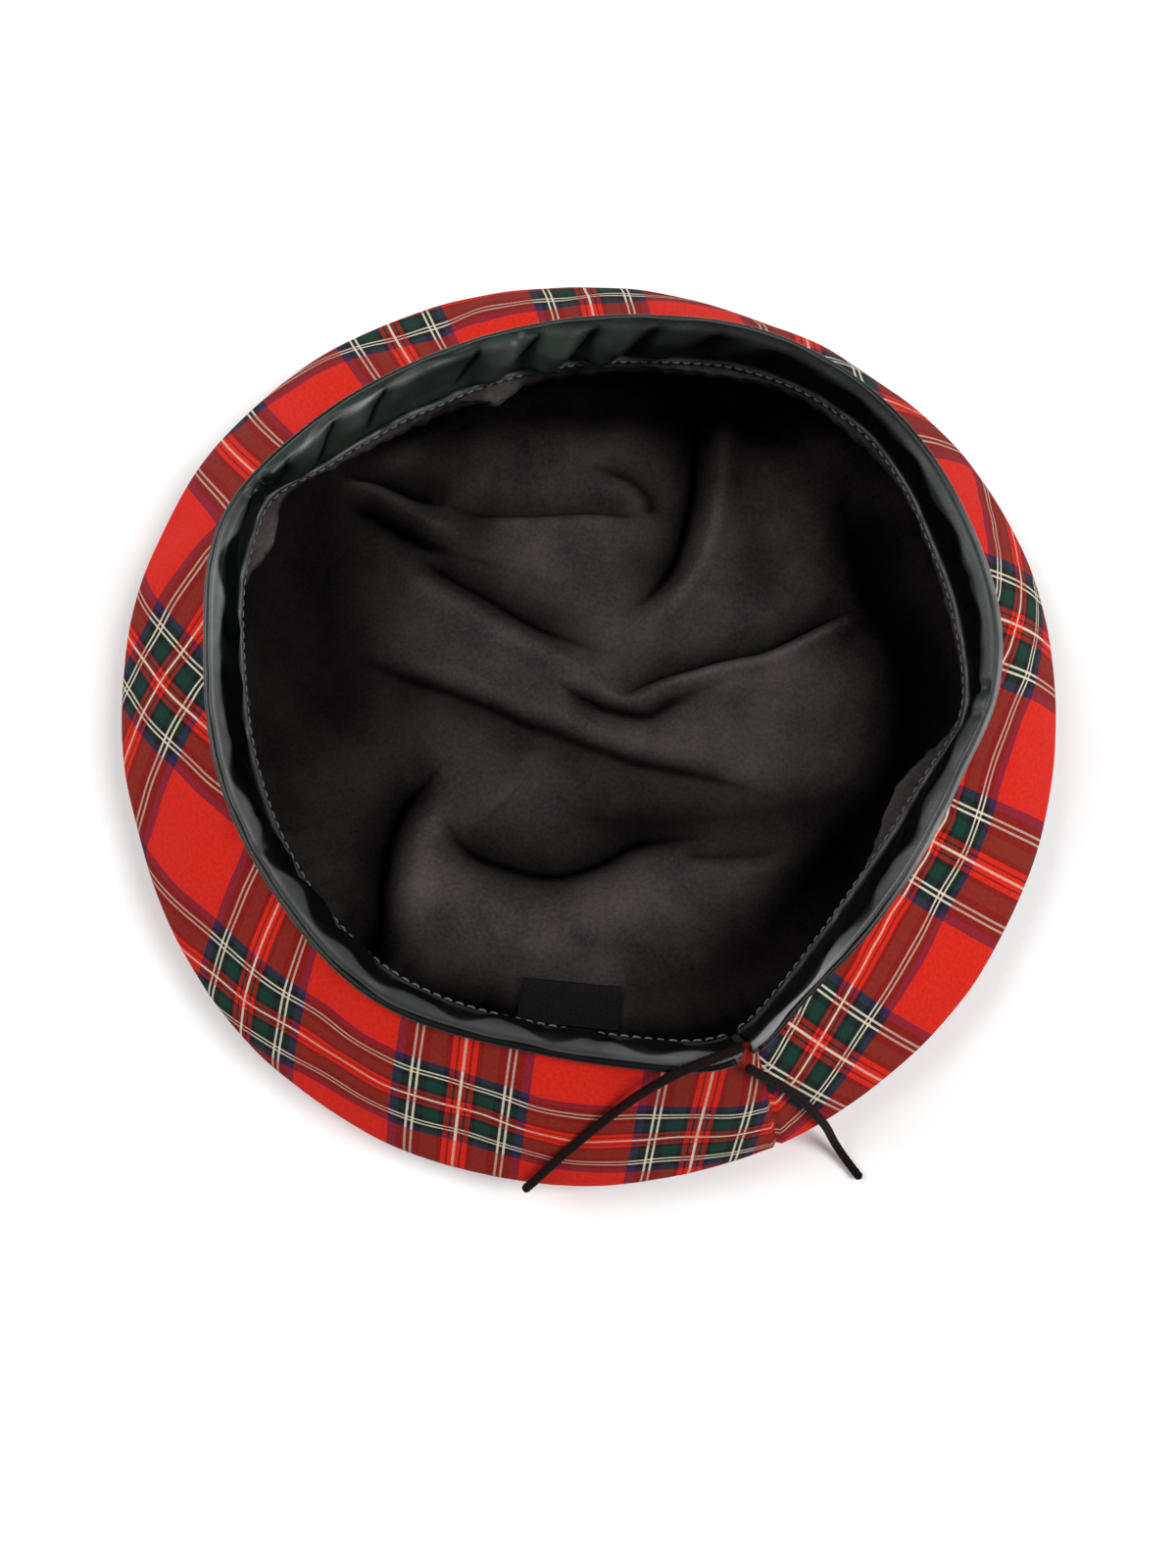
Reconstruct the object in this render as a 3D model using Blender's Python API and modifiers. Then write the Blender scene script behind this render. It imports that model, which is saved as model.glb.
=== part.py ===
"""Tartan tam o' shanter lying on its crown with the mouth up.

A flat round crown turns up at its edge and meets a side ring, which leans in to a rolled headband.
A slack lining hangs from the headband inside, and the two ends of a drawstring leave the band at
the back. The origin is the middle of the face that the hat rests on, +Z is up through the mouth,
and the back of the hat is near -Y. Tables are in millimetres, the scene is in metres.
"""

import math

import bmesh
import bpy
from mathutils import Vector

COLLECTION = "tam o shanter"
MM = 0.001
SEGMENTS = 60

CLOTH = 1.5
LINING = 1.0
LEATHER = 1.1
LABEL = 0.6
CORD = 2.8
GAP = 0.3

# Outline seen from above: the widest line, the lower outer edge of the headband and its height,
# and how far the headband's inner face leans outwards at its foot.
OUTLINE_COLUMNS = ("azimuth", "rim", "mouth", "height", "flare")
OUTLINE = (
    (0, 135.4, 105.2, 57.5, -1.0),
    (20, 136.8, 105.4, 57.0, -0.5),
    (40, 135.5, 105.2, 57.0, 2.6),
    (60, 132.4, 102.6, 56.5, 1.5),
    (80, 132.4, 98.0, 54.0, 0.0),
    (100, 133.3, 96.0, 52.0, -0.2),
    (120, 135.2, 96.6, 51.0, -1.4),
    (140, 136.8, 99.4, 52.0, -0.6),
    (160, 136.2, 102.4, 55.0, 0.5),
    (180, 134.5, 98.6, 53.5, -0.6),
    (200, 132.9, 98.4, 54.0, -1.4),
    (220, 134.4, 99.4, 54.5, -0.4),
    (240, 135.4, 102.5, 56.5, -1.2),
    (260, 135.7, 101.7, 56.0, -0.6),
    (280, 135.4, 104.9, 57.5, -1.4),
    (300, 134.9, 103.4, 57.0, -2.0),
    (320, 134.4, 99.2, 54.0, -2.6),
    (340, 134.3, 99.6, 54.5, -1.0),
)

# Corners of the mouth, where the headband is pulled out, up, or outwards at its foot.
CORNER_COLUMNS = ("azimuth", "out", "up", "flare", "half_width")
CORNERS = (
    (151, 0.0, 0.0, 4.5, 7),
    (289.5, 6.2, 2.2, 0.0, 10),
    (351, 1.0, 0.0, 3.0, 8),
)

# Gathers and dents in the side ring: how far the cloth sinks, and how wide in degrees.
DENT_COLUMNS = ("azimuth", "depth", "half_width")
DENTS = (
    (30, 1.4, 12),
    (76, 1.0, 11),
    (117, 1.8, 9),
    (158, 1.2, 12),
    (205, 1.0, 14),
    (246, 1.1, 11),
    (283, 1.8, 9),
    (318, 1.0, 12),
)

# Outer face of the cloth, as insets from the widest line and heights above the rest.
CROWN_TURN = ((27.0, 0.0), (18.0, 0.8), (11.0, 2.2), (5.5, 4.6))
SEAM_INSET = 3.6
SEAM_HEIGHT = 6.9
ABOVE_SEAM = ((1.6, 9.25), (0.3, 12.0), (0.0, 14.5), (1.1, 17.6))

# The side ring's slope up to the headband: its belly, the share of it lost towards the mouth, and
# the length tucked in under the headband.
SIDE_STEPS = 5
SIDE_BELLY = 1.8
SIDE_TAPER = 0.3
SIDE_TUCK = 0.6

# Headband section, measured in and up from its lower outer edge.
BAND_SECTION = (
    (0.0, 0.0),
    (1.5, 1.8),
    (2.6, 2.7),
    (3.9, 2.6),
    (4.8, 1.5),
    (5.0, -0.5),
    (5.0, -7.0),
    (4.8, -13.5),
)
BAND_WIDTH = 5.0
BAND_FACE_TOP = -0.5
BAND_FACE_FOOT = -13.5
BAND_OPENING = 289.5
BAND_OPENING_WIDTH = 5.0

# Fall of the lining: from under the headband, past a point that pulls it, to the foot of the wall.
FALL_COLUMNS = ("azimuth", "pull_radius", "pull_height", "foot")
FALL = (
    (0, 126, 8, 94),
    (40, 126, 8, 92),
    (80, 122, 6, 90),
    (120, 112, 6, 86),
    (160, 92, 8, 72),
    (200, 76, 10, 56),
    (240, 72, 10, 52),
    (280, 76, 10, 54),
    (320, 106, 8, 78),
)
LINING_TOP = (-4.2, -12.0, -15.0)
LINING_BEHIND_BAND = 0.9
WALL_STEPS = 6
FLOOR_RINGS = 9
FLOOR_LEVEL = 7.5
FLOOR_LOWEST = CLOTH + GAP + LINING / 2

# Folds of the lining's floor: a line bowed to one side, its rise (or fall) and its half width.
FOLD_COLUMNS = ("name", "x0", "y0", "x1", "y1", "bow", "rise", "half_width")
FOLDS = (
    ("upper crease", -62, 66, 20, 60, -3, -5.0, 6),
    ("upper ridge", -50, 52, 30, 46, 0, 3.5, 11),
    ("corner crease", -88, 62, -42, 46, -2, -4.0, 8),
    ("long valley", -50, 44, 10, 10, 0, -4.5, 9),
    ("left billow", -66, 36, -12, 6, 0, 4.0, 12),
    ("right crease", 82, 30, 6, -4, -3, -6.0, 7),
    ("right billow", 74, 8, 10, -14, -2, 4.5, 12),
    ("middle crease", -78, 17, 52, -30, -2, -5.0, 7),
    ("top valley", 34, 90, 12, 28, 8, -5.5, 10),
    ("top ridge", 44, 88, 40, 42, 0, 3.0, 8),
    ("left step", -42, -14, -62, -70, -5, -5.5, 9),
    ("left swell", -28, -24, -44, -66, -4, 3.5, 11),
    ("smile valley", -42, -38, 22, -32, -16, -5.5, 10),
    ("smile swell", -22, -26, 16, -24, -6, 3.5, 10),
    ("right hollow", 30, -46, 58, -43, 0, -3.0, 8),
)

# The blank label: its corners seen from above, two where it is sewn in and two that lie free, and
# its height over the lining's middle plane, measured straight up on the slope.
LABEL_SEWN = ((-18.0, -93.5), (8.0, -96.0))
LABEL_FREE = ((-17.0, -82.0), (9.0, -84.5))
LABEL_COLUMNS = 8
LABEL_ROWS = 4
LABEL_LIFT = 2.2

# Routes of the drawstring's ends, as points on the line through the middle of each cord.
LEFT_ROUTE = (
    (36.4, -100.5, 60.2),
    (35.7, -100.9, 63.2),
    (33.4, -101.6, 65.1),
    (30.1, -102.8, 65.1),
    (25.6, -104.2, 64.2),
    (22.6, -105.4, 62.6),
    (20.1, -106.8, 60.4),
    (15.4, -109.6, 54.8),
    (9.9, -113.2, 48.7),
    (4.0, -118.0, 42.4),
    (1.0, -120.5, 39.3),
    (-2.0, -123.0, 36.1),
    (-7.6, -128.0, 29.5),
    (-11.2, -131.6, 24.3),
    (-14.0, -134.4, 20.2),
)
RIGHT_ROUTE = (
    (37.6, -105.2, 60.4),
    (40.4, -106.7, 56.6),
    (44.2, -108.0, 51.4),
    (46.4, -108.9, 48.2),
    (48.6, -110.0, 44.9),
    (53.2, -112.6, 37.8),
    (55.3, -114.1, 34.1),
    (57.4, -115.7, 30.3),
    (61.4, -119.0, 22.6),
    (63.0, -120.1, 18.6),
    (64.4, -121.3, 14.6),
    (66.9, -124.4, 6.9),
    (69.6, -127.9, 2.6),
    (72.4, -131.4, 1.6),
    (75.2, -135.0, 1.6),
)
CORD_SPACING = 2.4 * CORD
CORD_SIDES = 2
FINE_STEPS = 20

SHELL_COLOUR = (0.74, 0.03, 0.02)
LINING_COLOUR = (0.016, 0.012, 0.013)
LEATHER_COLOUR = (0.012, 0.014, 0.013)
LABEL_COLOUR = (0.008, 0.008, 0.009)
CORD_COLOUR = (0.022, 0.014, 0.012)
SHELL_ROUGHNESS = 0.9
LINING_ROUGHNESS = 0.55
LEATHER_ROUGHNESS = 0.4
LABEL_ROUGHNESS = 0.7
CORD_ROUGHNESS = 0.8


def column(columns, name):
    return columns.index(name)


def around(table, index, azimuth):
    """A column of an evenly spaced table at any azimuth, on a closed Catmull-Rom curve."""
    rows = len(table)
    place = (azimuth % 360.0) / 360.0 * rows
    row = int(place) % rows
    t = place - int(place)
    a, b, c, d = (table[(row + step) % rows][index] for step in (-1, 0, 1, 2))
    return b + 0.5 * t * (c - a + t * (2 * a - 5 * b + 4 * c - d + t * (3 * (b - c) + d - a)))


def nearby(table, columns, name, azimuth):
    """Sum of a column over local features, each fading with the turn from its own azimuth."""
    total = 0.0
    for row in table:
        turn = (azimuth - row[0] + 180.0) % 360.0 - 180.0
        total += row[column(columns, name)] * math.exp(-((turn / row[-1]) ** 2))
    return total


def rim_at(azimuth):
    return around(OUTLINE, column(OUTLINE_COLUMNS, "rim"), azimuth)


def mouth_at(azimuth):
    base = around(OUTLINE, column(OUTLINE_COLUMNS, "mouth"), azimuth)
    return base + nearby(CORNERS, CORNER_COLUMNS, "out", azimuth)


def height_at(azimuth):
    base = around(OUTLINE, column(OUTLINE_COLUMNS, "height"), azimuth)
    return base + nearby(CORNERS, CORNER_COLUMNS, "up", azimuth)


def flare_at(azimuth, rise):
    """How far the headband's inner face leans out at a height under its rolled edge."""
    base = around(OUTLINE, column(OUTLINE_COLUMNS, "flare"), azimuth)
    lean = base + nearby(CORNERS, CORNER_COLUMNS, "flare", azimuth)
    share = (BAND_FACE_TOP - rise) / (BAND_FACE_TOP - BAND_FACE_FOOT)
    return lean * max(share, 0.0)


def dent_at(azimuth):
    """How far the side ring sinks at an azimuth, midway up its slope."""
    return nearby(DENTS, DENT_COLUMNS, "depth", azimuth)


def point(azimuth, radius, height):
    angle = math.radians(azimuth)
    return Vector((radius * math.cos(angle), radius * math.sin(angle), height)) * MM


def seam_ends():
    """The two sides of the seam, as (inset, height), with the gap between them."""
    before = Vector(CROWN_TURN[-1])
    after = Vector(ABOVE_SEAM[0])
    middle = Vector((SEAM_INSET, SEAM_HEIGHT))
    along = (after - before).normalized() * GAP / 2
    return middle - along, middle + along


def crown_section(azimuth):
    rim = rim_at(azimuth)
    insets = [*CROWN_TURN, tuple(seam_ends()[0])]
    return [(rim - inset, height) for inset, height in insets]


def side_section(azimuth):
    """The side ring's outer face, from the seam round the rim and up to under the headband."""
    rim = rim_at(azimuth)
    insets = [tuple(seam_ends()[1]), *ABOVE_SEAM]
    section = [(rim - inset, height) for inset, height in insets]
    start = Vector(section[-1])
    edge = Vector((mouth_at(azimuth), height_at(azimuth)))
    slope = (edge - start).normalized()
    outward = Vector((slope.y, -slope.x))
    under = edge - outward * (LEATHER + GAP)
    belly = SIDE_BELLY - dent_at(azimuth)
    for step in range(1, SIDE_STEPS + 1):
        t = step / SIDE_STEPS
        swell = belly * math.sin(math.pi * t) * (1.0 - SIDE_TAPER * t)
        section.append(tuple(start.lerp(under, t) + outward * swell))
    section.append(tuple(under + slope * SIDE_TUCK))
    return section


def band_section(azimuth):
    mouth = mouth_at(azimuth)
    height = height_at(azimuth)
    return [(mouth - inset + flare_at(azimuth, rise), height + rise) for inset, rise in BAND_SECTION]


def fold_rise(x, y, x0, y0, x1, y1, bow, rise, half_width):
    """One fold at a point: a bell across a bowed line, fading out past the line's two ends."""
    line = Vector((x1 - x0, y1 - y0))
    length = line.length
    along = line / length
    offset = Vector((x - x0, y - y0))
    t = offset.dot(along) / length
    inside = min(max(t, 0.0), 1.0)
    across = along.x * offset.y - along.y * offset.x - 4.0 * bow * inside * (1.0 - inside)
    beyond = (t - inside) * length
    return rise * math.exp(-(across**2 + beyond**2) / half_width**2)


def floor_height(x, y):
    """Height of the lining's middle plane over its floor, eased off where it meets the crown."""
    height = FLOOR_LEVEL + sum(fold_rise(x, y, *row[1:]) for row in FOLDS)
    lift = height - FLOOR_LOWEST
    return FLOOR_LOWEST + 0.5 * (lift + math.sqrt(lift * lift + 1.0))


def lining_section(azimuth):
    """The lining's middle line at an azimuth, from the inmost floor ring out and up the wall."""
    pull_radius = around(FALL, column(FALL_COLUMNS, "pull_radius"), azimuth)
    pull_height = around(FALL, column(FALL_COLUMNS, "pull_height"), azimuth)
    foot = around(FALL, column(FALL_COLUMNS, "foot"), azimuth)
    angle = math.radians(azimuth)
    section = []
    for ring in range(1, FLOOR_RINGS + 1):
        radius = foot * ring / FLOOR_RINGS
        section.append((radius, floor_height(radius * math.cos(angle), radius * math.sin(angle))))
    band_back = mouth_at(azimuth) - BAND_WIDTH + LEATHER
    behind = band_back + LINING_BEHIND_BAND + LINING / 2
    height = height_at(azimuth)
    top = [(behind + flare_at(azimuth, rise), height + rise) for rise in LINING_TOP]
    start = Vector(section[-1])
    pull = Vector((pull_radius, pull_height))
    end = Vector(top[-1])
    for step in range(1, WALL_STEPS):
        t = step / WALL_STEPS
        section.append(tuple(start.lerp(pull, t).lerp(pull.lerp(end, t), t)))
    return section + top[::-1]


def new_object(name, data, colour, roughness):
    """An object in the hat's collection, with its own material."""
    thing = bpy.data.objects.new(name, data)
    material = bpy.data.materials.new(name)
    material.use_nodes = True
    surface = material.node_tree.nodes["Principled BSDF"]
    surface.inputs["Base Color"].default_value = (*colour, 1.0)
    surface.inputs["Roughness"].default_value = roughness
    surface.inputs["Metallic"].default_value = 0.0
    data.materials.append(material)
    bpy.data.collections[COLLECTION].objects.link(thing)
    return thing


def loft(sections, closed, centre=None):
    """Mesh through sections of equal length, one for each azimuth, with a fan if centre is given."""
    bm = bmesh.new()
    rows = [[bm.verts.new(p) for p in section] for section in sections]
    pairs = list(zip(rows, rows[1:]))
    if closed:
        pairs.append((rows[-1], rows[0]))
    for here, there in pairs:
        for low in range(len(here) - 1):
            bm.faces.new((here[low], there[low], there[low + 1], here[low + 1]))
    if centre is not None:
        middle = bm.verts.new(centre)
        for here, there in pairs:
            bm.faces.new((middle, there[0], here[0]))
    mesh = bpy.data.meshes.new("loft")
    bm.to_mesh(mesh)
    bm.free()
    return mesh


def wall(thing, thickness, offset):
    """Gives an open surface its thickness: offset -1 grows it inwards, 0 both ways."""
    solid = thing.modifiers.new("wall", "SOLIDIFY")
    solid.thickness = thickness * MM
    solid.offset = offset
    solid.use_even_offset = True
    solid.use_rim = True
    thing.data.shade_smooth()
    return thing


def azimuths():
    """The azimuths that every ring of the hat shares, from the headband's opening round."""
    return [BAND_OPENING + 360.0 * step / SEGMENTS for step in range(SEGMENTS)]


def sections_of(section_at, angles):
    return [[point(a, r, z) for r, z in section_at(a)] for a in angles]


def make_crown():
    mesh = loft(sections_of(crown_section, azimuths()), closed=True, centre=Vector((0, 0, 0)))
    return wall(new_object("crown", mesh, SHELL_COLOUR, SHELL_ROUGHNESS), CLOTH, -1.0)


def make_side_ring():
    mesh = loft(sections_of(side_section, azimuths()), closed=True)
    return wall(new_object("side_ring", mesh, SHELL_COLOUR, SHELL_ROUGHNESS), CLOTH, -1.0)


def make_headband():
    """The band is a strip whose two ends meet at the back with a small opening between them."""
    half_gap = math.degrees(BAND_OPENING_WIDTH / 2 / mouth_at(BAND_OPENING))
    ends = [BAND_OPENING + half_gap, BAND_OPENING + 360.0 - half_gap]
    angles = [ends[0], *azimuths()[1:], ends[1]]
    mesh = loft(sections_of(band_section, angles), closed=False)
    return wall(new_object("headband", mesh, LEATHER_COLOUR, LEATHER_ROUGHNESS), LEATHER, -1.0)


def make_lining():
    centre = Vector((0, 0, floor_height(0, 0))) * MM
    mesh = loft(sections_of(lining_section, azimuths()), closed=True, centre=centre)
    return wall(new_object("lining", mesh, LINING_COLOUR, LINING_ROUGHNESS), LINING, 0.0)


def lining_height(x, y):
    """Height of the lining's middle plane where it slopes in under the label."""
    azimuth = math.degrees(math.atan2(y, x)) % 360.0
    radius = math.hypot(x, y)
    section = lining_section(azimuth)
    for (r0, z0), (r1, z1) in zip(section, section[1:]):
        if r0 <= radius <= r1:
            return z0 + (z1 - z0) * (radius - r0) / (r1 - r0)
    return section[-1][1]


def make_label():
    """A patch that follows the lining's slope, a little above it."""
    rows = []
    for i in range(LABEL_COLUMNS + 1):
        u = i / LABEL_COLUMNS
        sewn = Vector(LABEL_SEWN[0]).lerp(Vector(LABEL_SEWN[1]), u)
        free = Vector(LABEL_FREE[0]).lerp(Vector(LABEL_FREE[1]), u)
        row = []
        for j in range(LABEL_ROWS + 1):
            x, y = free.lerp(sewn, j / LABEL_ROWS)
            row.append(Vector((x, y, lining_height(x, y) + LABEL_LIFT)) * MM)
        rows.append(row)
    mesh = loft(rows, closed=False)
    return wall(new_object("label", mesh, LABEL_COLOUR, LABEL_ROUGHNESS), LABEL, 0.0)


def smooth_route(route, spacing):
    """Points at an even spacing along a Catmull-Rom curve through the route's own points."""
    stops = [Vector(p) for p in route]
    stops = [2 * stops[0] - stops[1], *stops, 2 * stops[-1] - stops[-2]]
    fine = []
    for a, b, c, d in zip(stops, stops[1:], stops[2:], stops[3:]):
        for step in range(FINE_STEPS):
            t = step / FINE_STEPS
            turn = 2 * a - 5 * b + 4 * c - d + t * (3 * (b - c) + d - a)
            fine.append(b + 0.5 * t * (c - a + t * turn))
    fine.append(stops[-2])
    reach = [0.0]
    for here, there in zip(fine, fine[1:]):
        reach.append(reach[-1] + (there - here).length)
    count = max(2, round(reach[-1] / spacing))
    points = []
    at = 0
    for step in range(count + 1):
        goal = reach[-1] * step / count
        while at < len(reach) - 2 and reach[at + 1] < goal:
            at += 1
        share = (goal - reach[at]) / (reach[at + 1] - reach[at])
        points.append(fine[at].lerp(fine[at + 1], min(max(share, 0.0), 1.0)))
    return points


def make_cord(name, route):
    """A round cord along a route, with its two ends capped."""
    points = smooth_route(route, CORD_SPACING)
    curve = bpy.data.curves.new(name, "CURVE")
    curve.dimensions = "3D"
    curve.bevel_depth = CORD / 2 * MM
    curve.bevel_resolution = CORD_SIDES
    curve.use_fill_caps = True
    spline = curve.splines.new("POLY")
    spline.points.add(len(points) - 1)
    for knot, place in zip(spline.points, points):
        knot.co = (*(place * MM), 1.0)
    return new_object(name, curve, CORD_COLOUR, CORD_ROUGHNESS)


def main():
    for thing in list(bpy.data.objects):
        bpy.data.objects.remove(thing)
    collection = bpy.data.collections.new(COLLECTION)
    bpy.context.scene.collection.children.link(collection)
    make_crown()
    make_side_ring()
    make_headband()
    make_lining()
    make_label()
    make_cord("drawstring_left", LEFT_ROUTE)
    make_cord("drawstring_right", RIGHT_ROUTE)


main()
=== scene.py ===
import math

import bmesh
import bpy
import numpy as np
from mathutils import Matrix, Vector


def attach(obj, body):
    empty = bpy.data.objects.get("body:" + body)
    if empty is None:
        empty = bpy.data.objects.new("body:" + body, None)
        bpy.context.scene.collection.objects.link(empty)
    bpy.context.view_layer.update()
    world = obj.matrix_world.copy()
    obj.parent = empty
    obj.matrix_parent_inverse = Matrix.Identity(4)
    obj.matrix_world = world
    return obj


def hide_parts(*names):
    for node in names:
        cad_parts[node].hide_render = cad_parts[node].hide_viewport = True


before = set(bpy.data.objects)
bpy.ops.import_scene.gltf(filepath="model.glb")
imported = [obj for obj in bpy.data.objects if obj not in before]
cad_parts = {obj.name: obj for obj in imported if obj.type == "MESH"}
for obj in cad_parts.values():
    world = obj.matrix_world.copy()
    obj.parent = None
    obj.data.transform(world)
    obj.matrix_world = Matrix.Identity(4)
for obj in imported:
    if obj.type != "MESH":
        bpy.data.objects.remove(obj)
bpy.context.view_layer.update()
mm = 0.001
print("frame loaded")


cameraSetup = {
    "target": (0.24, -30.17, 30.0),
    "distance": 330.0,
    "elevation": 77.0,
    "lens": 27.89,
    "sensor": 36.0,
}


def makeCamera(s):
    # stands back from the target along the line of sight, and looks down it
    rise = math.radians(s["elevation"])
    back = Vector((0.0, -math.cos(rise), math.sin(rise)))
    data = bpy.data.cameras.new("photoCamera")
    data.lens = s["lens"]
    data.sensor_width = s["sensor"]
    data.clip_start = 0.01
    camera = bpy.data.objects.new("photoCamera", data)
    camera.location = (Vector(s["target"]) + back * s["distance"]) * mm
    camera.rotation_euler = (math.radians(90.0) - rise, 0.0, 0.0)
    bpy.context.scene.collection.objects.link(camera)
    bpy.context.scene.camera = camera
    return np.array(camera.location) / mm


eye = makeCamera(cameraSetup)


def catmullRom(a, b, c, d, t):
    # b + t/2 (c - a + t (2a - 5b + 4c - d + t (3 (b - c) + d - a))), from b to c as t goes 0 to 1
    return b + 0.5 * t * (c - a + t * (2 * a - 5 * b + 4 * c - d + t * (3 * (b - c) + d - a)))


def closedCurve(values, azimuth):
    # that curve through evenly spaced values on a circle
    values = np.asarray(values, float)
    place = (azimuth % 360.0) / 360.0 * len(values)
    row = np.floor(place).astype(int)
    return catmullRom(*(values[(row + k) % len(values)] for k in (-1, 0, 1, 2)), place - row)


def curveAt(points, place):
    # that curve through points along axis 0 at any places, 0 at the first point
    points, place = np.asarray(points, float), np.asarray(place, float)
    held = np.concatenate([2 * points[:1] - points[1:2], points, 2 * points[-1:] - points[-2:-1]])
    row = np.clip(np.floor(place).astype(int), 0, len(points) - 2)
    t = (place - row).reshape(place.shape + (1,) * (points.ndim - 1))
    return catmullRom(*(held[row + k] for k in (0, 1, 2, 3)), t)


def openCurve(points, count):
    # count samples of that curve, evenly spaced in its parameter
    return curveAt(points, np.linspace(0.0, len(points) - 1.0, count))


def reachAlong(line):
    # how far along a line of points each of them lies
    return np.concatenate([[0.0], np.cumsum(np.linalg.norm(np.diff(line, axis=0), axis=1))])


def pointsAt(goal, reach, line):
    # where a line is at the distances goal along it, straight between its points
    return np.stack([np.interp(goal, reach, line[:, k]) for k in range(3)], axis=-1)


def evenCurve(points, spacing):
    # the same curve, resampled so that its steps are equally long
    fine = openCurve(points, 40 * len(points))
    reach = reachAlong(fine)
    goal = np.linspace(0.0, reach[-1], max(3, int(round(reach[-1] / spacing)) + 1))
    return pointsAt(goal, reach, fine)


def averaged(rows):
    # each inner row, half itself and a quarter of each neighbour
    return 0.25 * rows[:-2] + 0.5 * rows[1:-1] + 0.25 * rows[2:]


def evenRows(fine, rows):
    # sections (fine rows, columns, 2) with their rows spaced evenly along each: the fine row at or
    # under each reach, then straight to the next
    step = np.linalg.norm(np.diff(fine, axis=0), axis=-1)
    reach = np.concatenate([np.zeros((1, fine.shape[1])), np.cumsum(step, axis=0)])
    goal = np.linspace(0.0, 1.0, rows)[:, None] * reach[-1]
    low = np.clip((reach[:, None] <= goal).sum(axis=0) - 1, 0, len(fine) - 2)
    start, stop = (np.take_along_axis(reach, low + k, 0) for k in (0, 1))
    near, far = (np.take_along_axis(fine, (low + k)[..., None], 0) for k in (0, 1))
    t = (goal - start) / np.maximum(stop - start, 1e-9)
    return near + (far - near) * t[..., None], goal, reach


def allRound(count):
    # count azimuths, evenly spaced from 0
    return np.arange(count) * 360.0 / count


def turnFrom(azimuth, centre):
    # signed angle from centre to azimuth, from -180 to 180
    return (azimuth - centre + 180.0) % 360.0 - 180.0


def bell(offset, width):
    # exp(-(offset / width)^2)
    return np.exp(-((offset / width) ** 2))


def nearby(table, azimuth, column=1):
    # sum of a column over local features, each a bell of its half width round its azimuth
    total = np.zeros_like(azimuth, float)
    for row in table:
        total += row[column] * bell(turnFrom(azimuth, row[0]), row[-1])
    return total


def ripple(azimuth, low, high, count, seed):
    # uneven waves round the hat: a seeded sum of whole-number sines, about -1 to 1
    rng = np.random.default_rng(seed)
    total = np.zeros_like(azimuth, float)
    for number in rng.integers(low, high, count):
        total += np.sin(np.radians(azimuth) * number + rng.uniform(0.0, 2.0 * math.pi))
    return total / math.sqrt(count / 2.0) / 1.6


def crumple(x, y, low, high, count, seed):
    # slack cloth seen from above: a seeded sum of plane waves with lengths from low to high
    rng = np.random.default_rng(seed)
    total = np.zeros_like(x, float)
    for _ in range(count):
        heading, length = rng.uniform(0.0, math.pi), rng.uniform(low, high)
        along = (x * math.cos(heading) + y * math.sin(heading)) / length
        total += np.sin(2.0 * math.pi * along + rng.uniform(0.0, 2.0 * math.pi))
    return total / math.sqrt(count / 2.0) / 1.6


def smoothStep(low, high, value):
    # 0 below low, 1 above high, 3t^2 - 2t^3 between
    t = np.clip((value - low) / (high - low), 0.0, 1.0)
    return t * t * (3.0 - 2.0 * t)


def paired(first, second):
    # arrays, or one number for all, as the last axis of one array
    return np.stack(np.broadcast_arrays(first, second), axis=-1)


def spin(section, azimuth):
    # (radius cos a, radius sin a, height) for each (radius, height) of a section
    radius, height, angle = section[..., 0], section[..., 1], np.radians(azimuth)
    return np.stack([radius * np.cos(angle), radius * np.sin(angle), height], axis=-1)


def unit(vectors):
    # each vector over its own length
    return vectors / np.maximum(np.linalg.norm(vectors, axis=-1, keepdims=True), 1e-9)


def gridNormals(points, wrapColumns, wrapRows):
    # unit cross product of the steps along the columns and along the rows
    def steps(axis, wrap):
        if wrap:
            return np.roll(points, -1, axis) - np.roll(points, 1, axis)
        return np.gradient(points, axis=axis)

    return unit(np.cross(steps(1, wrapColumns), steps(0, wrapRows)))


def gridPiece(name, points, wrapColumns=False, wrapRows=False, uv=None, weld=False, caps=False):
    # a mesh of quads over a grid of points (rows, columns, 3) in mm, its uv given at the corners;
    # caps close the first and the last column with one face each
    rows, columns = points.shape[:2]
    r, c = np.meshgrid(
        np.arange(rows if wrapRows else rows - 1),
        np.arange(columns if wrapColumns else columns - 1),
        indexing="ij",
    )
    corner = [(r, c), (r, c + 1), (r + 1, c + 1), (r + 1, c)]
    quads = np.stack([(i % rows) * columns + j % columns for i, j in corner], axis=-1).ravel()
    first = np.arange(rows) * columns
    ends = np.concatenate([first, first[::-1] + columns - 1]) if caps else first[:0]
    starts = np.arange(0, quads.size, 4)
    if caps:
        starts = np.concatenate([starts, [quads.size, quads.size + rows]])
    mesh = bpy.data.meshes.new(name)
    mesh.vertices.add(rows * columns)
    mesh.vertices.foreach_set("co", (points * mm).astype(np.float32).ravel())
    mesh.loops.add(quads.size + ends.size)
    mesh.loops.foreach_set("vertex_index", np.concatenate([quads, ends]).astype(np.int32))
    mesh.polygons.add(len(starts))
    mesh.polygons.foreach_set("loop_start", starts.astype(np.int32))
    mesh.update(calc_edges=True)
    if uv is not None:
        layer = mesh.uv_layers.new(name="clothMap")
        flat = np.stack([uv[i, j] for i, j in corner], axis=-2).reshape(-1, 2)
        flat = np.concatenate([flat, np.zeros((ends.size, 2))])
        layer.data.foreach_set("uv", (flat * mm).astype(np.float32).ravel())
    return linkMesh(name, mesh, weld)


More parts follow.
